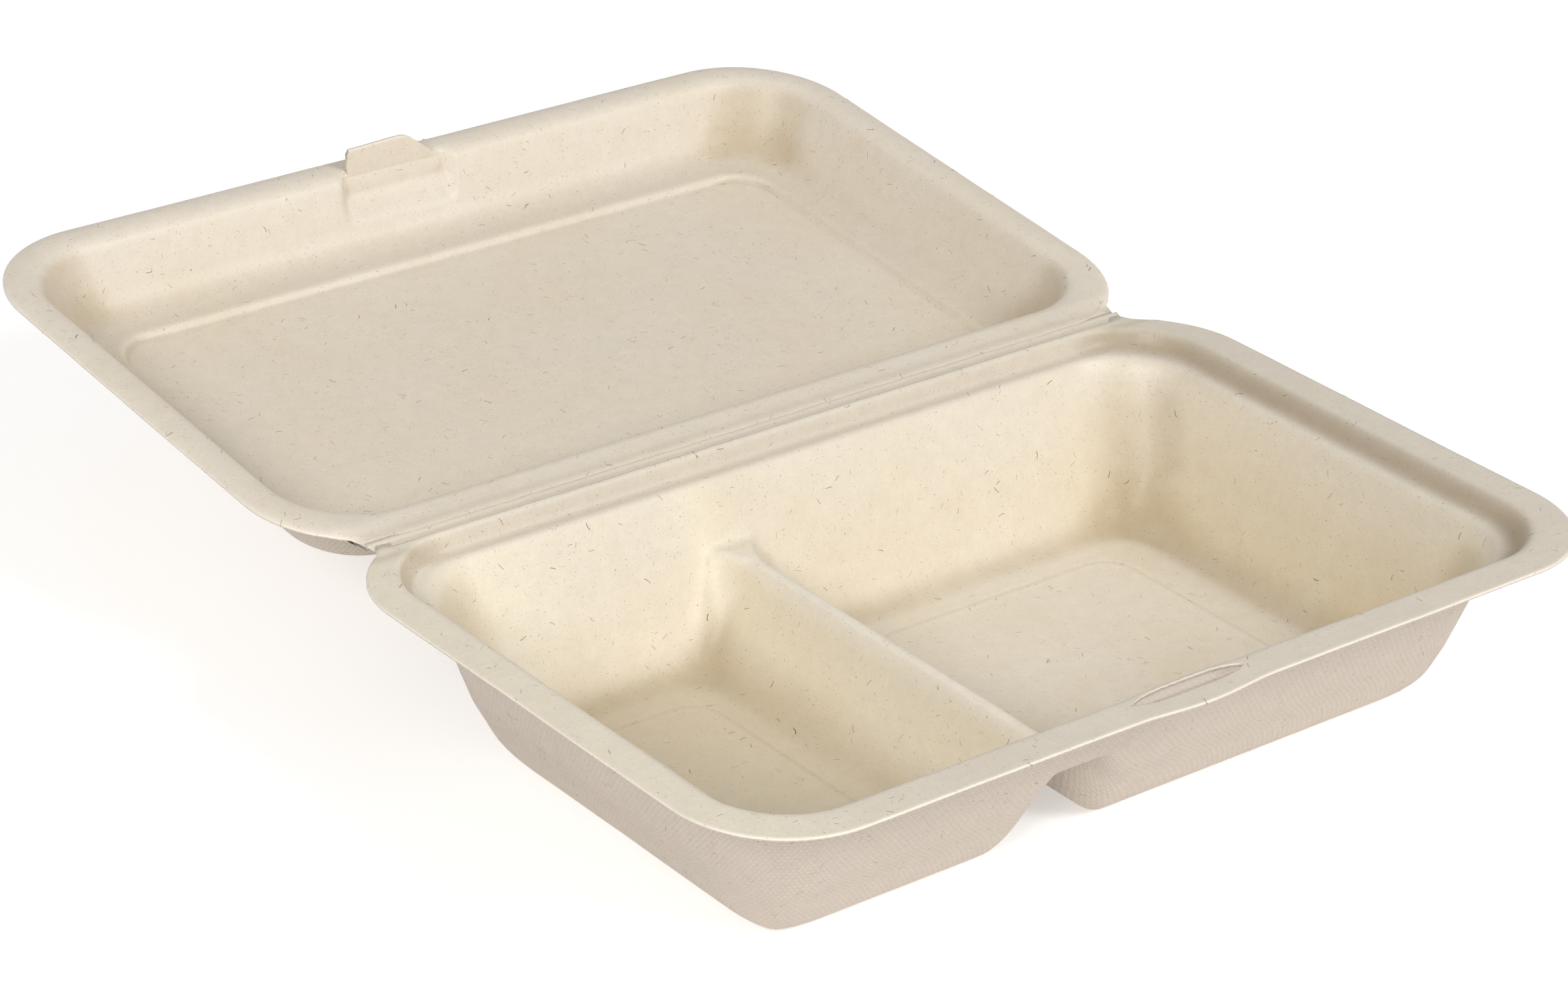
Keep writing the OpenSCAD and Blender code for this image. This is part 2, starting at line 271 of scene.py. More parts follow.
def wall_and_fillet(top, foot, top_z, floor_z, reach, steps=12):
    """A straight wall from the top insets to the foot insets, with a fillet into the floor."""
    top, foot = np.array(top, float), np.array(foot, float)
    f = (top_z - floor_z - reach * 0.9) / (top_z - floor_z)
    start, start_z = top + (foot - top) * f, top_z + (floor_z - top_z) * f
    rows = [np.append(top + (foot - top) * t, top_z + (floor_z - top_z) * t)
            for t in np.linspace(0, f, steps)[1:]]
    end = foot + [reach, reach, reach, -3]
    for t in np.linspace(0, 1, 6)[1:]:
        a, b = (1 - t) ** 2, 2 * t * (1 - t)
        inset = start * a + foot * b + end * (1 - a - b)
        rows.append(np.append(inset, start_z * a + floor_z * (1 - a)))
    return rows


EASE = 0.35
LEDGE_IN = RIM_W + LEDGE_W
FOLD_LEDGE_IN = FOLD_RIM_W + LEDGE_W * 0.76
LEDGE_R = CORNER_R - 7.5
FOOT_R = 15.0
SHOULDER_Z = -LEDGE_DROP - 1.6
tray_rows = [
    [0, FOLD_GAP, 0, CORNER_R, 0],
    [RIM_W * 0.5, FOLD_RIM_W * 0.55, RIM_W * 0.5, CORNER_R - 3.5, 0],
    [RIM_W - 2 * EASE, FOLD_RIM_W - EASE, RIM_W - 2 * EASE, CORNER_R - 6, 0],
    [RIM_W, FOLD_RIM_W, RIM_W, CORNER_R - 6.5, -EASE],
    [RIM_W + 1.6, FOLD_RIM_W + 1.2, RIM_W + 1.6, LEDGE_R, 0.8 - LEDGE_DROP],
    [RIM_W + 2.8, FOLD_RIM_W + 2.2, RIM_W + 2.8, LEDGE_R, -LEDGE_DROP],
    [LEDGE_IN - 1.2, FOLD_LEDGE_IN - 1, LEDGE_IN - 1.2, LEDGE_R, -LEDGE_DROP],
    [LEDGE_IN, FOLD_LEDGE_IN, LEDGE_IN, LEDGE_R, SHOULDER_Z],
] + wall_and_fillet([LEDGE_IN, FOLD_LEDGE_IN, LEDGE_IN, LEDGE_R],
                    [SIDE_FOOT, FOLD_FOOT, FREE_FOOT, FOOT_R],
                    SHOULDER_Z, FLOOR_Z, FLOOR_FILLET)
LID_WALL_TOP, LID_FILLET = -2.6, 6.0
PANEL_EDGE = ((-1.3, BAND_Z), (-0.7, BAND_Z), (-0.35, BAND_Z - 0.1), (0.35, LID_FLOOR_Z + 0.15),
              (0.7, LID_FLOOR_Z), (1.4, LID_FLOOR_Z), (9.0, LID_FLOOR_Z))
lid_rows = [
    [0, FOLD_GAP, 0, CORNER_R + 1.5, -RIM_DROOP],
    [1.8, 2.4, 1.8, CORNER_R, -RIM_DROOP * 0.25],
    [3.6, 5, 3.6, CORNER_R - 2, 0],
    [LID_RIM_W - 2.8, LID_FOLD_RIM_W - 2.8, LID_RIM_W - 2.8, CORNER_R - 4, -0.1],
    [LID_RIM_W - 1.2, LID_FOLD_RIM_W - 1.2, LID_RIM_W - 1.2, CORNER_R - 5, -0.55],
    [LID_RIM_W - 0.1, LID_FOLD_RIM_W - 0.2, LID_RIM_W - 0.1, CORNER_R - 6, -1.4],
    [LID_RIM_W + 0.6, LID_FOLD_RIM_W + 0.5, LID_RIM_W + 0.6, CORNER_R - 6.5, LID_WALL_TOP],
] + wall_and_fillet([LID_RIM_W + 0.6, LID_FOLD_RIM_W + 0.5, LID_RIM_W + 0.6, CORNER_R - 6.5],
                    [LID_FOOT - 1.6, LID_FOOT - 1.2, LID_FOOT - 1.6, FOOT_R],
                    LID_WALL_TOP, BAND_Z, LID_FILLET) + [
    [PANEL_INSET + reach] * 3 + [FOOT_R - 4.9 - reach * 0.3, z] for reach, z in PANEL_EDGE]
print("rows that fix the tray:", len(tray_rows), "and the lid:", len(lid_rows))

# %% [markdown]
# ## The net
#
# The rows become a net: a flat mesh with one line of vertices for each row, closed into a
# tube, and zipped shut in the middle of the floor at both ends. The net holds no shape yet.
# Its vertices only carry named values, such as their row's insets, and the geometry tree
# reads those and bends the net into the shell. Columns beside the divider, the slit and the
# tongue keep a fixed x, so that these features stay sharp.

# %% Columns and the net
CORNER_STEPS = 20
SIDE_STEPS = 44


def full_rows(rows, step, floor_step, tight):
    """A whole section: inside floor, wall, rim, cut edge, outside wall, outside floor."""
    rows = spread_rows(cut_corners(np.array(rows, float), 2), step, tight)
    last = rows[-1]
    half_u = (HALF_DEPTH - last[1] - last[2]) / 2
    deltas = np.linspace(0, half_u - 0.12, int(half_u / floor_step) + 1)[1:]
    floor = np.array([[last[0] + d, last[1] + d, last[2] + d,
                       max(last[3] * (1 - d / (half_u - 0.12)), 0.06), last[4]] for d in deltas])
    inside = np.concatenate([rows, floor])
    outside = moved_out(inside, WALL)
    outside[0] = rows[0] - [0, 0, 0, 0, WALL]
    edge = rows[0][None].repeat(2, 0)
    edge[:, 4] -= [WALL * 0.25, WALL * 0.75]
    inside[0, :3] += 0.2
    outside[0, :3] += 0.2
    skin = np.concatenate([np.zeros(len(inside)), [0.3, 0.7], np.ones(len(outside))])
    rows = np.concatenate([inside[::-1], edge, outside])
    down = np.concatenate([[0], np.cumsum(np.hypot(np.diff(rows[:, 0]), np.diff(rows[:, 4])))])
    return rows, skin, down


def columns(fixed, left_step, right_step):
    """Places round the loop: corner signs, direction, and the fixed x of the middle columns."""
    reach = LENGTH / 2 - CORNER_R
    left = int((fixed[0] + reach) / left_step)
    right = int((reach - fixed[-1]) / right_step)
    straight = [(fixed[0], t) for t in np.linspace(1, 0, left + 1)[1:-1]]
    straight += [(x, 0.0) for x in fixed]
    straight += [(fixed[-1], t) for t in np.linspace(0, 1, right + 1)[1:-1]]
    signs = [-1.0 if x_t[0] == fixed[0] and k < left else 1.0 for k, x_t in enumerate(straight)]
    out = []

    def corner(sx, su, start):
        for a in np.radians(np.linspace(start, start + 90, CORNER_STEPS + 1)):
            out.append((sx, su, math.cos(a), math.sin(a), 0.0, 1.0))

    corner(1, 1, 0)
    out.extend((s, 1, 0.0, 1.0, x, t) for (x, t), s in reversed(list(zip(straight, signs))))
    corner(-1, 1, 90)
    out.extend((-1, s, -1.0, 0.0, 0.0, 1.0) for s in np.linspace(1, -1, SIDE_STEPS + 1)[1:-1])
    corner(-1, -1, 180)
    out.extend((s, -1, 0.0, -1.0, x, t) for (x, t), s in zip(straight, signs))
    corner(1, -1, 270)
    out.extend((1, s, 1.0, 0.0, 0.0, 1.0) for s in np.linspace(-1, 1, SIDE_STEPS + 1)[1:-1])
    return np.array(out)


def make_net(name, rows, step, floor_step, tight, fixed, left_step, right_step):
    rows, skin, down = full_rows(rows, step, floor_step, tight)
    cols = columns(fixed, left_step, right_step)
    n, count = len(cols), len(rows)
    quads = [(k * n + i, k * n + (i + 1) % n, (k + 1) * n + (i + 1) % n, (k + 1) * n + i)
             for k in range(count - 1) for i in range(n)]
    turn = n - SIDE_STEPS
    caps = []
    for base, flip in ((0, True), ((count - 1) * n, False)):
        for i in range(-SIDE_STEPS // 2, turn // 2):
            ring = [base + j % n for j in (i, i + 1, turn - i - 1, turn - i)]
            ring = list(dict.fromkeys(ring))
            if len(ring) > 2:
                caps.append(tuple(ring[::-1] if flip else ring))
    mesh = bpy.data.meshes.new(name)
    flat = [(i * MM, k * MM, 0) for k in range(count) for i in range(n)]
    mesh.from_pydata(flat, [], quads + caps)
    half_w, half_u = LENGTH / 2, HALF_DEPTH / 2
    sx, su, cos, sin, anchor, stretch = cols.T
    x = anchor + stretch * (sx * (half_w - CORNER_R) - anchor) + CORNER_R * cos
    u = su * (half_u - CORNER_R) + CORNER_R * sin
    around = np.concatenate([[0], np.cumsum(np.hypot(np.diff(x), np.diff(u)))])
    values = {"side": rows[:, 0], "fold": rows[:, 1], "free": rows[:, 2], "radius": rows[:, 3],
              "height": rows[:, 4], "skin": skin, "down": down}
    values = {key: np.repeat(v, n) for key, v in values.items()}
    for key, v in zip(("sx", "su", "cos", "sin", "anchor", "stretch"), cols.T):
        values[key] = np.tile(v, count)
    values["around"] = np.tile(around, count)
    lengths = ("side", "fold", "free", "radius", "height", "down", "anchor", "around")
    for key, v in values.items():
        scaled = (v * (MM if key in lengths else 1)).astype(np.float32)
        mesh.attributes.new(key, "FLOAT", "POINT").data.foreach_set("value", scaled)
    obj = bpy.data.objects.new(name, mesh)
    bpy.context.scene.collection.objects.link(obj)
    print(name, "has", count, "rows of", n, "vertices")
    return obj, rows[:, 0], x, n


tray_fixed = np.arange(-37, 15.01, 0.8)
hook_columns = LOCK_X - TONGUE_W / 2 + np.array([-1, -0.6, -0.3, -0.15, 0.15, 0.4, 0.8, 1.3])
lid_fixed = np.concatenate([np.arange(-24, -17, 1.0), hook_columns,
                            np.arange(-13.7, 8, 0.9), np.arange(8, 17.01, 0.7)])
tray, tray_sides, tray_x, tray_n = make_net(
    "clamshell_tray", tray_rows, step=0.85, floor_step=1.5, tight=(5.2, 6.8, 4),
    fixed=tray_fixed, left_step=1.7, right_step=1.8)
lid = make_net(
    "clamshell_lid", lid_rows, step=0.75, floor_step=2.2, tight=(5.3, 8.5, 5),
    fixed=lid_fixed, left_step=1.9, right_step=1.9)[0]

# %% [markdown]
# ## Bending a net into a half
#
# A rounded rectangle has a short formula: a vertex sits at a corner of a smaller rectangle
# and is pushed out by the radius in its own direction. The tree starts from that, lifts the
# divider out of the floor of the tray, parts the rim round the slit, raises the tongue of
# the lid, and adds the waves that drying leaves in pulp.

# %% Loop, divider and waves as formulas
def named(bench, name):
    return bench.wire("GeometryNodeInputNamedAttribute", {"data_type": "FLOAT"}, {"Name": name})


def soft_least(bench, a, b, k):
    """The smaller of two heights, with a round transition of width k."""
    h = bench.most(k - abs(a - b), 0) / k
    return bench.least(a, b) - h * h * k * 0.25


def soft_most(bench, a, b, k):
    return 0 - soft_least(bench, 0 - a, 0 - b, k)


def inset_in(bench, x, u, centre, half, r):
    """How deep a point lies inside a rounded rectangle."""
    qx = abs(x - centre[0]) - (half[0] - r)
    qu = abs(u - centre[1]) - (half[1] - r)
    outer_x, outer_u = bench.most(qx, 0), bench.most(qu, 0)
    corner = bench.math("SQRT", outer_x * outer_x + outer_u * outer_u)
    return r - corner - bench.least(bench.most(qx, qu), 0)


def loop_point(bench, length, depth):
    """x and u of every vertex of a net, from its row and its column."""
    side, fold, free, r = (named(bench, key) for key in ("side", "fold", "free", "radius"))
    sx, su, stretch, anchor = (named(bench, key) for key in ("sx", "su", "stretch", "anchor"))
    half_x = length * 0.5 - side - r
    half_u = (depth - fold - free) * 0.5 - r
    x = anchor + stretch * (sx * half_x - anchor) + r * named(bench, "cos")
    u = (depth + fold - free) * 0.5 + su * half_u + r * named(bench, "sin")
    return x, u


def divider_height(bench, x, u, t, place, width, drop, slope, length, depth):
    """Height of the divider over a point of the floor, for the face t under the inside."""
    left, right = length * -0.5 + LEDGE_IN * MM, length * 0.5 - LEDGE_IN * MM
    back, front = (FOLD_LEDGE_IN + 2) * MM, depth - (LEDGE_IN + 1) * MM
    low, high = place - width * 0.5, place + width * 0.5
    mid_u, half_u = (back + front) * 0.5, (front - back) * 0.5
    r = DIVIDER_CORNER_R * MM
    small = inset_in(bench, x, u, ((left + low) * 0.5, mid_u), ((low - left) * 0.5, half_u), r)
    large = inset_in(bench, x, u, ((right + high) * 0.5, mid_u), ((right - high) * 0.5, half_u), r)
    slant = t * math.sqrt(1 + DIVIDER_SLOPE ** 2)
    deep = bench.most(small, large)
    return soft_least(bench, 0 - drop - t, 0 - drop - slope * deep - slant, MERGE_TOP * MM)


def waves(bench, x, y, z, size, seed):
    """A smooth random height between about -0.5 and 0.5, over spots of the given size in mm."""
    place = bench.vector(x / (size * MM) + seed, y / (size * MM), z / (size * MM))
    noise = bench.wire("ShaderNodeTexNoise", {"noise_dimensions": "3D"},
                       {"Vector": place, "Scale": 1.0, "Detail": 1.0, "Roughness": 0.4})
    return noise - 0.5


def bump(bench, value, centre, width):
    """A smooth hill of height 1 about a centre."""
    d = (value - centre * MM) / (width * MM)
    return bench.math("EXPONENT", 0 - d * d)


def pulp_tree(name, inputs):
    """A new geometry tree with named inputs, and its group input as a dict of wires."""
    tree = bpy.data.node_groups.new(name, "GeometryNodeTree")
    bench = Bench(tree)
    kinds = {"Geometry": "NodeSocketGeometry", "Material": "NodeSocketMaterial",
             "Seed": "NodeSocketInt"}
    for key, value in inputs.items():
        kind = kinds.get(key, "NodeSocketFloat")
        socket = tree.interface.new_socket(key, in_out="INPUT", socket_type=kind)
        if kind != "NodeSocketGeometry" and value is not None:
            socket.default_value = value
    tree.interface.new_socket("Geometry", in_out="OUTPUT", socket_type="NodeSocketGeometry")
    source = bench.node("NodeGroupInput")
    return tree, bench, {key: Wire(bench, source.outputs[key]) for key in inputs}


def apply_tree(obj, tree, values):
    """Runs a tree on an object and keeps the result as its plain mesh."""
    modifier = obj.modifiers.new(tree.name, "NODES")
    modifier.node_group = tree
    for item in tree.interface.items_tree:
        if item.in_out == "INPUT" and item.name in values:
            modifier[item.identifier] = values[item.name]
    bpy.context.view_layer.update()
    evaluated = obj.evaluated_get(bpy.context.evaluated_depsgraph_get())
    mesh = bpy.data.meshes.new_from_object(evaluated, preserve_all_data_layers=True,
                                           depsgraph=bpy.context.evaluated_depsgraph_get())
    obj.modifiers.clear()
    obj.data = mesh
    mesh.name = obj.name
    return obj


print("formulas for the loop, the divider and the waves are ready")

# %% [markdown]
# ## The tray's tree
#
# Beside the fold the tray's narrow rim has a dip and a soft crest, pressed in with the fold.
# The slit is opened like an eye: the mesh lines on both sides of it move apart, and the torn
# side moves unevenly, because the pulp tore there. The faces between them are taken out
# afterwards. Each tree also stores how hollow the shell is at every vertex, by comparing its
# place with the mean of its neighbours', so that the material can paint shade into hollow
# corners and light onto convex edges.

# %% Tree of the tray
PANEL_RECESS = 0.3
PANEL_MARGIN = 12.0
PANEL_SIDE = LENGTH / 2 - SIDE_FOOT - FLOOR_FILLET - PANEL_MARGIN
PANEL_GAP = DIVIDER_W / 2 + (TRAY_DEPTH - DIVIDER_DROP) / DIVIDER_SLOPE + PANEL_MARGIN
PANELS = ((-PANEL_SIDE, DIVIDER_X - PANEL_GAP), (DIVIDER_X + PANEL_GAP, PANEL_SIDE))
PANEL_BACK = FOLD_FOOT + FLOOR_FILLET + 3.5
PANEL_FRONT = HALF_DEPTH - FREE_FOOT - FLOOR_FILLET - 3.5
PANEL_R = 8.0
BLUR_ROUNDS = 70
FOLD_RELIEF = ((3.4, 1.2, 0.28), (1.5, 0.9, -0.75), (0.3, 0.6, 0.3))


def recess_inset(bench, x, u, start, end):
    """How deep a point lies inside the shallow recess of a floor, from its two ends in x."""
    centre = ((start + end) / 2 * MM, (PANEL_BACK + PANEL_FRONT) / 2 * MM)
    half = ((end - start) / 2 * MM, (PANEL_FRONT - PANEL_BACK) / 2 * MM)
    return inset_in(bench, x, u, centre, half, PANEL_R * MM)


def slit_lens(bench, x):
    """1 in the middle of the slit, falling to 0 at its ends."""
    a = (x - LOCK_X * MM) / (SLIT_L / 2 * MM)
    return bench.most(1 - (a * a) * (a * a), 0)


def settle(bench, points, material, inward):
    """Moves the net's vertices, notes how hollow the shell is at each, and finishes."""
    net, places = points
    placed = bench.wire("GeometryNodeSetPosition", None, {"Geometry": net, "Position": places})
    where = bench.wire("GeometryNodeInputPosition")
    blurred = bench.wire("GeometryNodeBlurAttribute", {"data_type": "FLOAT_VECTOR"},
                         {"Value": where, "Iterations": BLUR_ROUNDS})
    lift = bench.vector_math("SUBTRACT", blurred, where)
    hollow = bench.wire("ShaderNodeVectorMath", {"operation": "DOT_PRODUCT"},
                        {0: lift, 1: bench.wire("GeometryNodeInputNormal")}, 1) * (inward / MM)
    marked = bench.wire("GeometryNodeStoreNamedAttribute",
                        {"data_type": "FLOAT", "domain": "POINT"},
                        {"Geometry": placed, "Name": "hollow", "Value": hollow})
    smooth = bench.wire("GeometryNodeSetShadeSmooth", None, {"Geometry": marked})
    real = bench.wire("GeometryNodeRealizeInstances", None, {"Geometry": smooth})
    coated = bench.wire("GeometryNodeSetMaterial", None, {"Geometry": real, "Material": material})
    bench.node("NodeGroupOutput", None, {0: coated})


tray_tree, bench, size = pulp_tree("tray shell", {
    "Geometry": None, "Length": LENGTH * MM, "Half Depth": HALF_DEPTH * MM,
    "Divider Place": DIVIDER_X * MM, "Divider Width": DIVIDER_W * MM,
    "Divider Drop": DIVIDER_DROP * MM, "Divider Slope": DIVIDER_SLOPE,
    "Slit Opening": SLIT_GAP * MM, "Tear": 0.35 * MM, "Material": None})
x, u = loop_point(bench, size["Length"], size["Half Depth"])
z, skin, side = named(bench, "height"), named(bench, "skin"), named(bench, "side")
t = skin * WALL * MM
k = bench.between(MERGE_TOP, MERGE_FLOOR, bench.ease((0 - z - DIVIDER_DROP * MM) / (18 * MM))) * MM
raised = soft_most(bench, z, divider_height(
    bench, x, u, t, size["Divider Place"], size["Divider Width"], size["Divider Drop"],
    size["Divider Slope"], size["Length"], size["Half Depth"]), k)
z = bench.between(raised, z, bench.above(z, (8 - DIVIDER_DROP) * MM))

free_side = bench.above(named(bench, "su"), 0.5)
fold_side = bench.above(-0.5, named(bench, "su"))
out = size["Half Depth"] - u
lens = slit_lens(bench, x) * free_side
lip = bench.above(out, SLIT_INSET * MM)
ragged = waves(bench, x, x * 0, skin, 1.6, 3.0) + waves(bench, x, x * 0, skin, 0.6, 7.0) * 0.5
outer_pull = size["Slit Opening"] * 0.5 * lens * bench.most(out / (SLIT_INSET * MM), 0)
inner_reach = bench.most(1 - (out - SLIT_INSET * MM) / (3.4 * MM), 0)
inner_pull = (size["Slit Opening"] * 0.5 + ragged * size["Tear"] * 2) * lens * inner_reach
bulge_wide = 1 - bench.ease(abs(x - LOCK_X * MM) / (SLIT_L / 1.6 * MM))
bulge = bulge_wide * free_side * bench.most(1 - out / (SLIT_INSET * MM), 0) * SLIT_BULGE * MM
u = u + bulge + bench.between(outer_pull, 0 - inner_pull, lip)
near_rim = bench.above(z, -2.5 * MM)
z = z + bench.between(lens * -0.1, lens * inner_reach * 0.35, lip) * near_rim * MM

web = fold_side * bench.above(WEB_HALF * MM, abs(x)) * bench.above(0.5 * MM, side)
u = bench.between(u, bench.least(u, FOLD_GAP * MM + side * 0.3), web)
crest = sum(bump(bench, u, place, width) * height for place, width, height in FOLD_RELIEF)
line = bump(bench, u, 8.4, 0.45) * 0.22 * bench.above(5.6 * MM, 0 - z)
z = z + (crest * bench.above(z, -2 * MM) + line) * MM * fold_side
sag = waves(bench, x, u, z, 38.0, 1.0) * 0.5 + waves(bench, x, u, z, 11.0, 5.0) * 0.22
ledge = bench.ease((u - 4 * MM) / (4 * MM)) * bench.ease((0 - z) / (3 * MM))
x = x + sag * ledge * MM * 0.8
z = z + sag * MM * bench.ease((TRAY_DEPTH * MM - 2 * MM + z) / (6 * MM)) * 0.6
for start, end in PANELS:
    on_floor = bench.above(0.6 * MM, abs(z - FLOOR_Z * MM + t))
    pressed = bench.ease(recess_inset(bench, x, u, start, end) / (0.7 * MM))
    z = z - pressed * PANEL_RECESS * MM * on_floor
point = bench.vector(x, FOLD_Y * MM - u, bench.most(TRAY_DEPTH * MM + z, 0))
settle(bench, (size["Geometry"], point), size["Material"], 1)
print("the tray's tree has", len(tray_tree.nodes), "nodes")

# %% [markdown]
# ## The lid's tree
#
# The tongue that locks the lid grows out of the lid's wall: the rows beside the wall leave
# the rim and climb up a thin upright leaf, hooked at one end and sloping off at the other.
# Below it, the wall stands further out than elsewhere and forms a shallow pocket with a
# crease at each end.

# %% Tree of the lid
LEAF_FROM, LEAF_TO = 5.4, 8.4
lid_tree, bench, size = pulp_tree("lid shell", {
    "Geometry": None, "Length": LENGTH * MM, "Half Depth": HALF_DEPTH * MM,
    "Tongue Height": TONGUE_H * MM, "Tongue Width": TONGUE_W * MM, "Hook": HOOK * MM,
    "Opening Angle": LID_ANGLE, "Material": None})
x, u = loop_point(bench, size["Length"], size["Half Depth"])
z, skin, side = named(bench, "height"), named(bench, "skin"), named(bench, "side")
free_side = bench.above(named(bench, "su"), 0.5)
fold_side = bench.above(-0.5, named(bench, "su"))
half_w = size["Tongue Width"] * 0.5
along = x - LOCK_X * MM
hook_end = bench.clamp((along + half_w) / (0.3 * MM) + 0.5)
leaf = hook_end * (1 - bench.ease((along - 1.5 * MM) / (11.5 * MM)))
height = leaf * size["Tongue Height"] * (0.93 + 0.07 * bench.ease((along + half_w) / (14 * MM)))
q = bench.clamp((side - LEAF_FROM * MM) / ((LEAF_TO - LEAF_FROM) * MM))
climb = bench.clamp((q - 0.12) / 0.38)
across = bench.clamp((q - 0.5) / 0.12)
fall = bench.clamp((q - 0.62) / 0.38)
leaf_inset = LEAF_FROM * MM + bench.clamp(q / 0.12) * (SLIT_INSET - LEAF_FROM) * MM \
    + across * TONGUE_T * MM
leaf_z = height * climb * (1 - fall) + fall * z
grown = bench.clamp(leaf * 8.0) * free_side * bench.above(0.1, skin) \
    * bench.above(side, LEAF_FROM * MM) * bench.above(LEAF_TO * MM, side)
under = bench.most(-1.2 * MM - z, 0)
beside = abs(along - 0.4 * MM + under * 0.12) - (POCKET_HALF - 0.6) * MM
pocket = (1 - bench.ease(beside / (2.6 * MM))) * free_side * (1 - grown) \
    * bench.clamp((side + skin * WALL * MM - LEAF_FROM * MM) / (3 * MM))
fade = 1 - bench.ease((under - 3.5 * MM) / (6.5 * MM))
u = u + pocket * fade * (POCKET_PUSH * MM + under * 0.24)
u = u + (side - leaf_inset) * grown
z = bench.between(z, leaf_z, grown)
nose = bump(bench, z, TONGUE_H * 0.7, 1.3) * (1 - bench.ease((along + half_w) / (3 * MM)))
x = x - nose * grown * size["Hook"]
web = fold_side * bench.above(WEB_HALF * MM, abs(x)) * bench.above(0.5 * MM, side)
u = bench.between(u, bench.least(u, FOLD_GAP * MM + side * 0.3), web)
faint = bump(bench, u, 6.2, 0.5) * -0.12 + bump(bench, u, 8.2, 1.6) * 0.16
z = z + faint * MM * fold_side * bench.above(z, -2 * MM)
sag = waves(bench, x, u, z, 42.0, 2.0) * 0.5 + waves(bench, x, u, z, 12.0, 6.0) * 0.2
z = z + sag * MM * bench.ease((u - 3 * MM) / (5 * MM)) * 0.7
rise, drop = (z - AXIS_Z * MM), math.sin(LID_ANGLE)
y = FOLD_Y * MM + u * math.cos(LID_ANGLE) - rise * drop
up = (TRAY_DEPTH + AXIS_Z) * MM + u * drop + rise * math.cos(LID_ANGLE)
settle(bench, (size["Geometry"], bench.vector(x, y, up)), size["Material"], -1)
print("the lid's tree has", len(lid_tree.nodes), "nodes")

# %% [markdown]
# ## Pulp materials
#
# Pressed pulp is a mat of cream fibres. Its inside is smooth, with faint clouds of warmer
# brown where the mat is thick, and it is a little shiny where the tool slid along the
# walls. Shade is painted into its colour: browner in hollow corners, in creases and grooves,
# on the rim and on walls turned away from the light, and light is painted paler onto convex
# edges and onto walls turned to it. The outside keeps the marks of the wire screen, short
# dashes in rows, and looks greyer. Both faces carry dark specks of cane bark. One material
# serves both, and reads from the net which side of the shell a point is on.

# %% Colour of the smooth face
SMALL_FLOOR_SHADE, LIT_CREAM, LID_BAND_SHADE = (0.60, 0.51, 0.36, 1), (0.86, 0.78, 0.61, 1), (0.60, 0.53, 0.42, 1)
HOLLOW_SHADE_BROWN, RIM_SHADE_GREY = (0.47, 0.365, 0.225, 1), (0.63, 0.57, 0.485, 1)
PAINTED_EDGE_CREAM, GROOVE_SHADE_BROWN = (0.87, 0.81, 0.72, 1), (0.36, 0.28, 0.18, 1)
FOLD_CREASE_SHADE, RECESS_EDGE_SHADE = (0.47, 0.39, 0.28, 1), (0.42, 0.33, 0.22, 1)
OUTSIDE_GREY = (0.545, 0.48, 0.413)


def attribute(bench, name):
    return bench.wire("ShaderNodeAttribute", {"attribute_name": name}, None, 2)


def noise(bench, place, scale, detail=2.0, roughness=0.5, stretch=(1, 1, 1)):
    at = bench.vector_math("MULTIPLY", place, stretch)
    return bench.wire("ShaderNodeTexNoise", None, {
        "Vector": at, "Scale": scale, "Detail": detail, "Roughness": roughness})


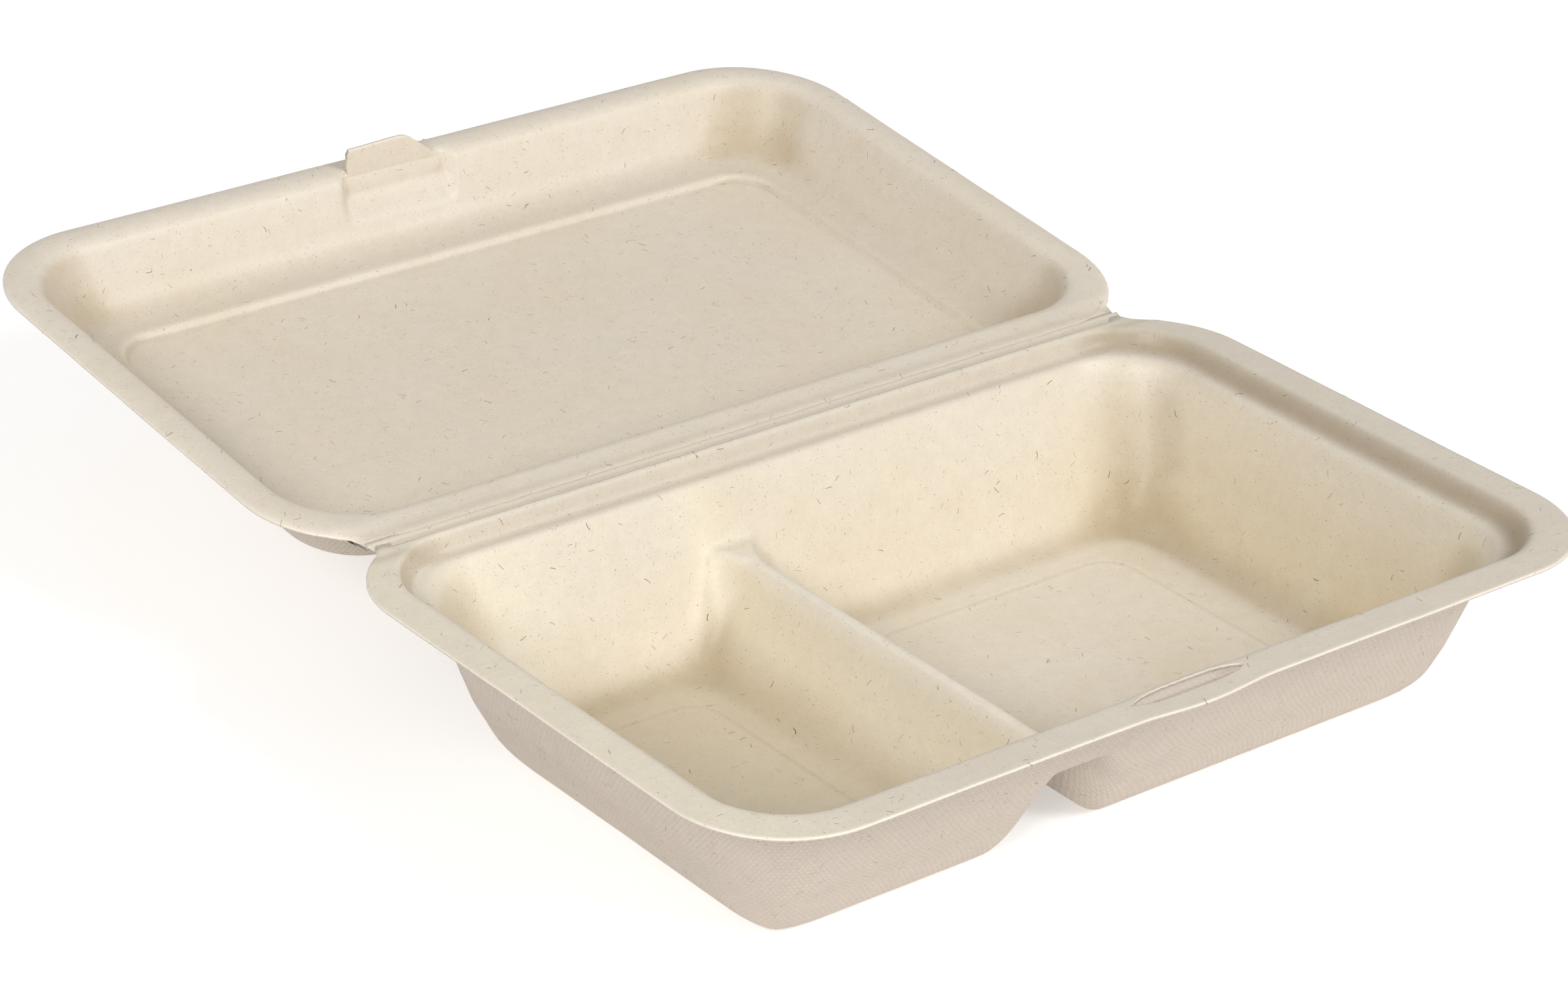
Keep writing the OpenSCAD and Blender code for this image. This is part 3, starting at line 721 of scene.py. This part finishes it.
def smooth_face(bench, place, cloud, inside, deep, wall_low, wall_high, tub):
    """Colour of the pressed face. tub is 1 on the tray, with its compartments, and 0 on the lid."""
    x, y, z = bench.parts(place)
    side, u = attribute(bench, "side"), FOLD_Y * MM - y
    depth = bench.ease((wall_high * MM - z) / ((wall_high - wall_low) * MM)) \
        * bench.ease((z - wall_low * MM) / (6 * MM) + 0.35)
    # The right walls get more of the warm brown and the left walls less: painted shade on walls
    # turned away from the light, painted light on walls turned to it.
    right_wall = bench.ease((x - 62 * MM) / (34 * MM))
    left_wall = bench.ease((-58 * MM - x) / (24 * MM))
    divider = bump(bench, x, DIVIDER_X - 6.5, 6.5)
    warm = bench.clamp(depth * 0.35 + depth * (right_wall * 0.5 + divider * 0.15) * tub
                       - left_wall * tub * 0.25 + (cloud - 0.5) * 1.1)
    colour = bench.blend(warm, (*inside, 1), (*deep, 1))

    # Painted shade: the floor of the small compartment is darker, where the divider and the front
    # wall shade it.
    small_floor_shade = bench.ease((-26 * MM - x) / (8 * MM)) * bench.ease((8 * MM - z) / (6 * MM)) * tub
    colour = bench.blend(small_floor_shade * 0.7, colour, SMALL_FLOOR_SHADE)
    off_floor = bench.ease((z - 5 * MM) / (6 * MM))
    lit = bench.clamp(divider * 0.5 + left_wall * 0.45) * off_floor * tub
    colour = bench.blend(lit, colour, LIT_CREAM)
    # Painted shade: the lid's flat band round the panel is darker.
    lid_band_shade = bump(bench, side, 20.5, 4.5) * (1 - tub)
    colour = bench.blend(lid_band_shade * 0.45, colour, LID_BAND_SHADE)

    hollow = attribute(bench, "hollow")
    # Painted shade: hollow corners are browner, more so where the clouds are.
    corner = bench.ease((hollow - 0.45) * 0.75)
    # Painted light: convex edges are paler.
    convex_edge_light = bench.ease((-0.7 - hollow) * 1.2)
    colour = bench.blend(corner * (0.3 + cloud * 0.65), colour, HOLLOW_SHADE_BROWN)
    # Painted shade: the tray's rim is darker, a little at the left end and more further right, away
    # from the left light.
    away_from_left_light = 0.3 + bench.ease((x + 112 * MM) / (40 * MM)) * 0.7
    rim_shade = (1 - bench.ease((side - 12.5 * MM) / (2.5 * MM))) * away_from_left_light
    colour = bench.blend(rim_shade * tub * 0.6, colour, RIM_SHADE_GREY)
    # Painted light on convex edges.
    colour = bench.blend(convex_edge_light * 0.35, colour, PAINTED_EDGE_CREAM)
    # Painted shade in the groove of the ledge along the right side of the tray.
    groove_shade = bump(bench, side, 10.4, 2.1) * bench.ease((x - 84 * MM) / (12 * MM)) * tub
    colour = bench.blend(groove_shade * (0.45 + cloud * 0.5), colour, GROOVE_SHADE_BROWN)

    # Painted shade in the dips beside the fold, on the tray's rim and on the lid's rim.
    tray_crease_shade = bump(bench, u, 2.0, 0.9) + bump(bench, u, 5.9, 1.3) * 0.8
    crease_shade = tray_crease_shade * bench.ease((z - 32 * MM) / (4 * MM)) * tub \
        + bump(bench, u, -3.0, 1.3) * (1 - tub) * 0.7
    colour = bench.blend(crease_shade * 0.5, colour, FOLD_CREASE_SHADE)
    # Painted shade along the edges of the shallow recesses in the tray's floors.
    for start, end in PANELS:
        edge = bump(bench, recess_inset(bench, x, u, start, end), 0.2, 0.5) \
            * bench.ease((4 * MM - z) / (2 * MM)) * tub
        colour = bench.blend(edge * 0.2, colour, RECESS_EDGE_SHADE)
    return colour


# Besides its own clouds, the smooth face carries browns of painted shade and paler painted light.
print("the smooth face has", len(PANELS), "recess edges and its browns and painted shade")

# %% [markdown]
# The screen's marks follow the net, so the shader reads how far a point lies round the half
# and down its section. Under the flat bases those lines would crowd together, so there the
# dashes follow x and y instead.

# %% Pulp material
WIRE_PITCH, ROW_PITCH, BASE_INSET = 1.7, 0.95, 27.0
SPECK_BROWN, DASH_SHADE = (0.2, 0.13, 0.07, 1), (0.36, 0.29, 0.23, 1)


def screen_dashes(bench, place):
    """1 in the middle of each dash that the wire screen left, and 0 between the dashes."""
    x, y, _ = bench.parts(place)
    base = bench.above(attribute(bench, "side"), BASE_INSET * MM)
    around = bench.between(attribute(bench, "around"), x, base) / (WIRE_PITCH * MM)
    down = bench.between(attribute(bench, "down"), y, base) / (ROW_PITCH * MM)
    row = bench.math("FLOOR", down)
    dash = bench.math("SINE", (around + row * 0.5) * math.tau) * 0.5 + 0.5
    return dash * bench.math("SINE", (down - row) * math.pi)


def pulp_material(name, inside, deep, wall_low, wall_high, tub):
    material = bpy.data.materials.new(name)
    material.use_nodes = True
    bench = Bench(material.node_tree)
    place = bench.wire("ShaderNodeTexCoord", None, None, 3)
    skin = bench.ease((attribute(bench, "skin") - 0.35) * 4.0)
    cloud = noise(bench, place, 28.0, 3.0, 0.6)
    mottle = noise(bench, place, 260.0, 4.0, 0.7)
    grain = noise(bench, place, 1500.0, 3.0, 0.6)
    hairs = noise(bench, place, 700.0, 2.0, 0.5, (1.0, 0.12, 0.5)) \
        + noise(bench, place, 650.0, 2.0, 0.5, (0.15, 1.0, 0.5))
    dashes = screen_dashes(bench, place)

    colour = smooth_face(bench, place, cloud, inside, deep, wall_low, wall_high, tub)
    colour = bench.blend(skin, colour, (*OUTSIDE_GREY, 1))
    tone = 1.0 + (mottle - 0.5) * 0.16 + (grain - 0.5) * 0.12 + (cloud - 0.5) * 0.06
    colour = bench.blend(1.0, colour, bench.vector(tone, tone, tone), "MULTIPLY")
    speck = bench.ease((noise(bench, place, 2300.0, 1.0, 0.4) - 0.725) * 40.0)
    colour = bench.blend(speck * 0.6, colour, SPECK_BROWN)
    colour = bench.blend(skin * (1 - dashes) * 0.3, colour, DASH_SHADE)

    relief = hairs * 0.35 + grain * 0.35 + mottle * 0.5
    relief = bench.between(relief, dashes * 1.6 + relief * 0.5, skin)
    raised = bench.wire("ShaderNodeBump", None, {
        "Strength": 0.6, "Distance": 0.0002, "Height": relief})
    pressed_gloss = 0.42 + (mottle - 0.5) * 0.25 + (cloud - 0.5) * 0.2
    gloss = bench.between(pressed_gloss, 0.82 + grain * 0.1, skin)
    shader = bench.node("ShaderNodeBsdfPrincipled", None, {
        "Base Color": colour, "Roughness": gloss, "Normal": raised, "IOR": 1.45,
        "Sheen Weight": 0.06, "Sheen Roughness": 0.5})
    bench.node("ShaderNodeOutputMaterial", None, {0: Wire(bench, shader.outputs[0])})
    return material


tray_pulp = pulp_material("pressed pulp of the tray", (0.775, 0.70, 0.58), (0.68, 0.57, 0.385),
                          wall_low=1.0, wall_high=38.0, tub=1.0)
lid_pulp = pulp_material("pressed pulp of the lid", (0.765, 0.69, 0.58), (0.70, 0.60, 0.445),
                         wall_low=22.0, wall_high=58.0, tub=0.0)
for name in ("tray", "lid"):
    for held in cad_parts[name].material_slots:
        held.material = tray_pulp if name == "tray" else lid_pulp
print("materials:", tray_pulp.name, "and", lid_pulp.name)

# %% [markdown]
# ## Shaping both halves
#
# Each tree runs once on its net, and its result is kept as a plain mesh. The slit is then
# cut through both faces of the tray's rim: the faces between its two edges go, and short
# walls join the top to the underside.

# %% Shape the halves and cut the slit
import bmesh

apply_tree(tray, tray_tree, {"Material": tray_pulp})
apply_tree(lid, lid_tree, {"Material": lid_pulp})


def cut_slit(obj, sides, column_x, n):
    free = range(CORNER_STEPS + 1, CORNER_STEPS + 1 + np.argmin(column_x[:n // 2]))
    cols = [i for i in free if abs(column_x[i] - LOCK_X) < SLIT_L / 2 - 0.2]
    first, last = cols[0], cols[-1]
    off = sides - SLIT_INSET
    lips = [k for k in range(len(off) - 1) if off[k] * off[k + 1] < 0]
    top, under = lips
    bm = bmesh.new()
    bm.from_mesh(obj.data)
    bm.faces.ensure_lookup_table()
    bm.verts.ensure_lookup_table()
    doomed = [bm.faces[k * n + i] for k in lips for i in range(first, last)]
    bmesh.ops.delete(bm, geom=doomed, context="FACES_ONLY")
    bmesh.ops.delete(bm, geom=[e for e in bm.edges if not e.link_faces], context="EDGES")
    bm.verts.ensure_lookup_table()
    v = bm.verts
    for upper, lower in ((top, under + 1), (top + 1, under)):
        for i in range(first, last):
            ring = (upper * n + i, upper * n + i + 1, lower * n + i + 1, lower * n + i)
            bm.faces.new([v[k] for k in ring])
    for i in (first, last):
        bm.faces.new([v[k * n + i] for k in (top, top + 1, under, under + 1)])
    bm.to_mesh(obj.data)
    bm.free()


def face_outwards(obj):
    bm = bmesh.new()
    bm.from_mesh(obj.data)
    bmesh.ops.recalc_face_normals(bm, faces=bm.faces)
    if bm.calc_volume(signed=True) < 0:
        bmesh.ops.reverse_faces(bm, faces=bm.faces)
    open_edges = sum(1 for e in bm.edges if len(e.link_faces) != 2)
    print(obj.name, "volume", round(bm.calc_volume() * 1e6, 2), "ml,", len(bm.faces), "faces,",
          open_edges, "open edges")
    for f in bm.faces:
        f.smooth = True
    bm.to_mesh(obj.data)
    bm.free()


cut_slit(tray, tray_sides, tray_x, tray_n)
for half in (tray, lid):
    face_outwards(half)
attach(tray, "tray")
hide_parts("tray")
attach(lid, "lid")
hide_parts("lid")

# %% [markdown]
# ## The fold
#
# Between the halves the pulp was pressed into a thin line, so that the lid can turn. On the
# real tray this is not a separate piece. Here it is one strip of its own. A bright low ridge
# runs along it.

# %% The fold strip
FOLD_SECTION = [(-1.9, -0.25), (-1.5, -0.18), (-1.0, -0.02), (-0.5, 0.2), (-0.15, 0.33),
                (0.15, 0.3), (0.5, 0.05), (1.0, -0.3), (1.5, -0.42), (2.0, -0.4),
                (2.0, -1.0), (1.0, -1.05), (0.4, -0.8), (0.0, -0.72), (-0.4, -0.74),
                (-1.0, -0.75), (-1.9, -0.7)]
STATIONS, WOBBLE_STEP, WOBBLE = 260, 5, 0.05


def fold_strip():
    stations = np.linspace(-WEB_HALF + 0.1, WEB_HALF - 0.1, STATIONS)
    knots = np.arange(0, STATIONS, WOBBLE_STEP)
    rng = np.random.default_rng(11)
    wobble = np.interp(np.arange(STATIONS), knots, rng.normal(0, WOBBLE, len(knots)))
    vertices = [(x * MM, (FOLD_Y + u) * MM, (TRAY_DEPTH + z + w * (z > -0.5)) * MM)
                for x, w in zip(stations, wobble) for u, z in FOLD_SECTION]
    n = len(FOLD_SECTION)
    faces = [(k * n + i, k * n + (i + 1) % n, (k + 1) * n + (i + 1) % n, (k + 1) * n + i)
             for k in range(len(stations) - 1) for i in range(n)]
    end = (len(stations) - 1) * n
    faces += [tuple(range(n)), tuple(reversed(range(end, end + n)))]
    mesh = bpy.data.meshes.new("clamshell_fold")
    mesh.from_pydata(vertices, [], faces)
    mesh.materials.append(tray_pulp)
    mesh.attributes.new("skin", "FLOAT", "POINT")
    for k, name in enumerate(("around", "down")):
        layer = mesh.attributes.new(name, "FLOAT", "POINT")
        layer.data.foreach_set("value", [v[k] for v in vertices])
    strip = bpy.data.objects.new("clamshell_fold", mesh)
    bpy.context.scene.collection.objects.link(strip)
    return strip


fold = fold_strip()
face_outwards(fold)
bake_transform(fold)

# %% [markdown]
# ## Bark fibres
#
# Short dark fibres of cane bark lie in both faces of the pulp, four or five to the square
# centimetre. They repeat, so a geometry tree strews them: it spreads points over the shell,
# puts a bent hair at each, turns it at random in the surface and varies its length. Most
# are specks, and a few are hairs of nearly two millimetres.

# %% Strew the fibres
HAIR_R = 0.05
HAIRS_PER_SQUARE_METRE, SHORTEST_HAIR, LONGEST_HAIR = 45000.0, 0.25, 1.9
BARK_DARK, BARK_PALE = (0.1, 0.065, 0.035, 1), (0.42, 0.3, 0.17, 1)


def fibre_tree(name, per_square_metre, short, long, seed):
    tree, bench, size = pulp_tree(name, {
        "Geometry": None, "Density": per_square_metre, "Shortest": short, "Longest": long,
        "Seed": seed, "Material": None})
    points = bench.node("GeometryNodeDistributePointsOnFaces", None, {
        "Mesh": size["Geometry"], "Density": size["Density"], "Seed": size["Seed"]})
    where, turned = Wire(bench, points.outputs["Points"]), Wire(bench, points.outputs["Rotation"])
    arc = bench.wire("GeometryNodeCurveQuadraticBezier", None, {
        "Resolution": 3, "Start": (-0.5 * MM, 0, 0), "Middle": (0.1 * MM, 0.22 * MM, 0.01 * MM),
        "End": (0.5 * MM, 0, 0)})
    ring = bench.wire("GeometryNodeCurvePrimitiveCircle", None, {
        "Resolution": 4, "Radius": HAIR_R * MM})
    hair = bench.wire("GeometryNodeCurveToMesh", None, {
        "Curve": arc, "Profile Curve": ring, "Fill Caps": True})

    def chance(low, high, salt):
        return bench.wire("FunctionNodeRandomValue", {"data_type": "FLOAT"},
                          {2: low, 3: high, "Seed": salt}, 1)

    angle = chance(0.0, math.tau, seed + 1)
    spin = bench.wire("FunctionNodeAxisAngleToRotation", None, {
        "Axis": (0.0, 0.0, 1.0), "Angle": angle})
    facing = bench.wire("FunctionNodeRotateRotation", {"rotation_space": "LOCAL"},
                        {0: turned, 1: spin})
    size_now = bench.between(size["Shortest"], size["Longest"], chance(0.0, 1.0, seed + 2) ** 3.0)
    bend, thick = chance(0.2, 1.0, seed + 3), chance(0.4, 0.7, seed + 4)
    scale = bench.vector(size_now, size_now * bend, thick)
    hairs = bench.wire("GeometryNodeInstanceOnPoints", None, {
        "Points": where, "Instance": hair, "Rotation": facing, "Scale": scale})
    real = bench.wire("GeometryNodeRealizeInstances", None, {"Geometry": hairs})
    coated = bench.wire("GeometryNodeSetMaterial", None, {
        "Geometry": real, "Material": size["Material"]})
    bench.node("NodeGroupOutput", None, {0: coated})
    return tree


def fibre_material():
    material = bpy.data.materials.new("cane bark fibre")
    material.use_nodes = True
    bench = Bench(material.node_tree)
    place = bench.wire("ShaderNodeTexCoord", None, None, 3)
    patch = bench.wire("ShaderNodeTexNoise", None, {"Vector": place, "Scale": 160.0, "Detail": 1.0})
    colour = bench.blend(bench.ease((patch - 0.35) * 3.5), BARK_DARK, BARK_PALE)
    shader = bench.node("ShaderNodeBsdfPrincipled", None, {"Base Color": colour, "Roughness": 0.7})
    bench.node("ShaderNodeOutputMaterial", None, {0: Wire(bench, shader.outputs[0])})
    return material


bark = fibre_material()
for half, body, seed in ((tray, "tray", 5), (lid, "lid", 23)):
    fibres = bpy.data.objects.new("bark_fibres_" + body, half.data.copy())
    bpy.context.scene.collection.objects.link(fibres)
    tree = fibre_tree("fibres of the " + body, HAIRS_PER_SQUARE_METRE,
                      SHORTEST_HAIR, LONGEST_HAIR, seed)
    apply_tree(fibres, tree, {"Material": bark})
    face_outwards(fibres)
    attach(fibres, body)
    body + "_pulp"

# %% [markdown]
# ## The camera, the floor and the light
#
# The photograph was taken from above the small compartment's front corner with a long lens.
# The camera's place and turn were worked out from the outline of the object. The object
# lies on a plain pale floor under large soft lights.

# %% Camera, floor and lights
EYE = Vector((-582.5, -647.57, 487.26)) * MM
LOOK = Vector((0.56589819, 0.69245039, -0.44751726))
RIGHT = Vector((0.78459882, -0.61905579, 0.03427272))
FOCAL_PIXELS, IMAGE_PIXELS, SENSOR = 7254.5, 2408, 36.0
LOOK.normalize()
up = RIGHT.cross(LOOK).normalized()
right = LOOK.cross(up)
camera_data = bpy.data.cameras.new("studio camera")
camera_data.sensor_width = SENSOR
camera_data.lens = FOCAL_PIXELS / IMAGE_PIXELS * SENSOR
camera_data.clip_start, camera_data.clip_end = 0.05, 20
camera = bpy.data.objects.new("studio camera", camera_data)
camera.matrix_world = Matrix.Translation(EYE) @ Matrix((right, up, -LOOK)).transposed().to_4x4()
bpy.context.scene.collection.objects.link(camera)
bpy.context.scene.camera = camera

floor_mesh = bpy.data.meshes.new("studio floor")
reach = 6.0
floor_corners = [(-reach, -reach, 0), (reach, -reach, 0), (reach, reach, 0), (-reach, reach, 0)]
floor_mesh.from_pydata(floor_corners, [], [(0, 1, 2, 3)])
floor = bpy.data.objects.new("studio floor", floor_mesh)
bpy.context.scene.collection.objects.link(floor)
floor_material = bpy.data.materials.new("pale floor")
floor_material.use_nodes = True
bench = Bench(floor_material.node_tree)
paper = bench.node("ShaderNodeBsdfPrincipled", None, {
    "Base Color": (0.95, 0.95, 0.945, 1), "Roughness": 0.9,
    "Emission Color": (1.0, 1.0, 1.0, 1), "Emission Strength": 0.36})
bench.node("ShaderNodeOutputMaterial", None, {0: Wire(bench, paper.outputs[0])})
floor_mesh.materials.append(floor_material)


def soft_light(name, place, aim, size, power):
    data = bpy.data.lights.new(name, "AREA")
    data.shape, data.size, data.energy = "DISK", size, power
    light = bpy.data.objects.new(name, data)
    light.location = place
    light.rotation_euler = (Vector(aim) - Vector(place)).to_track_quat("-Z", "Y").to_euler()
    bpy.context.scene.collection.objects.link(light)


soft_light("large light", (0.6, -1.4, 1.1), (0, 0.05, 0), 0.8, 16.4)
soft_light("left light", (-1.35, -0.75, 0.95), (0, 0.05, 0), 0.6, 13.4)
world = bpy.data.worlds.new("pale room")
bpy.context.scene.world = world
world.use_nodes = True
bench = Bench(world.node_tree)
room = bench.node("ShaderNodeBackground", None, {0: (1.0, 0.995, 0.985, 1), 1: 0.46})
bench.node("ShaderNodeOutputWorld", None, {0: Wire(bench, room.outputs[0])})
bpy.context.scene.view_settings.view_transform = "Standard"
print("lens", round(camera_data.lens, 2), "mm")
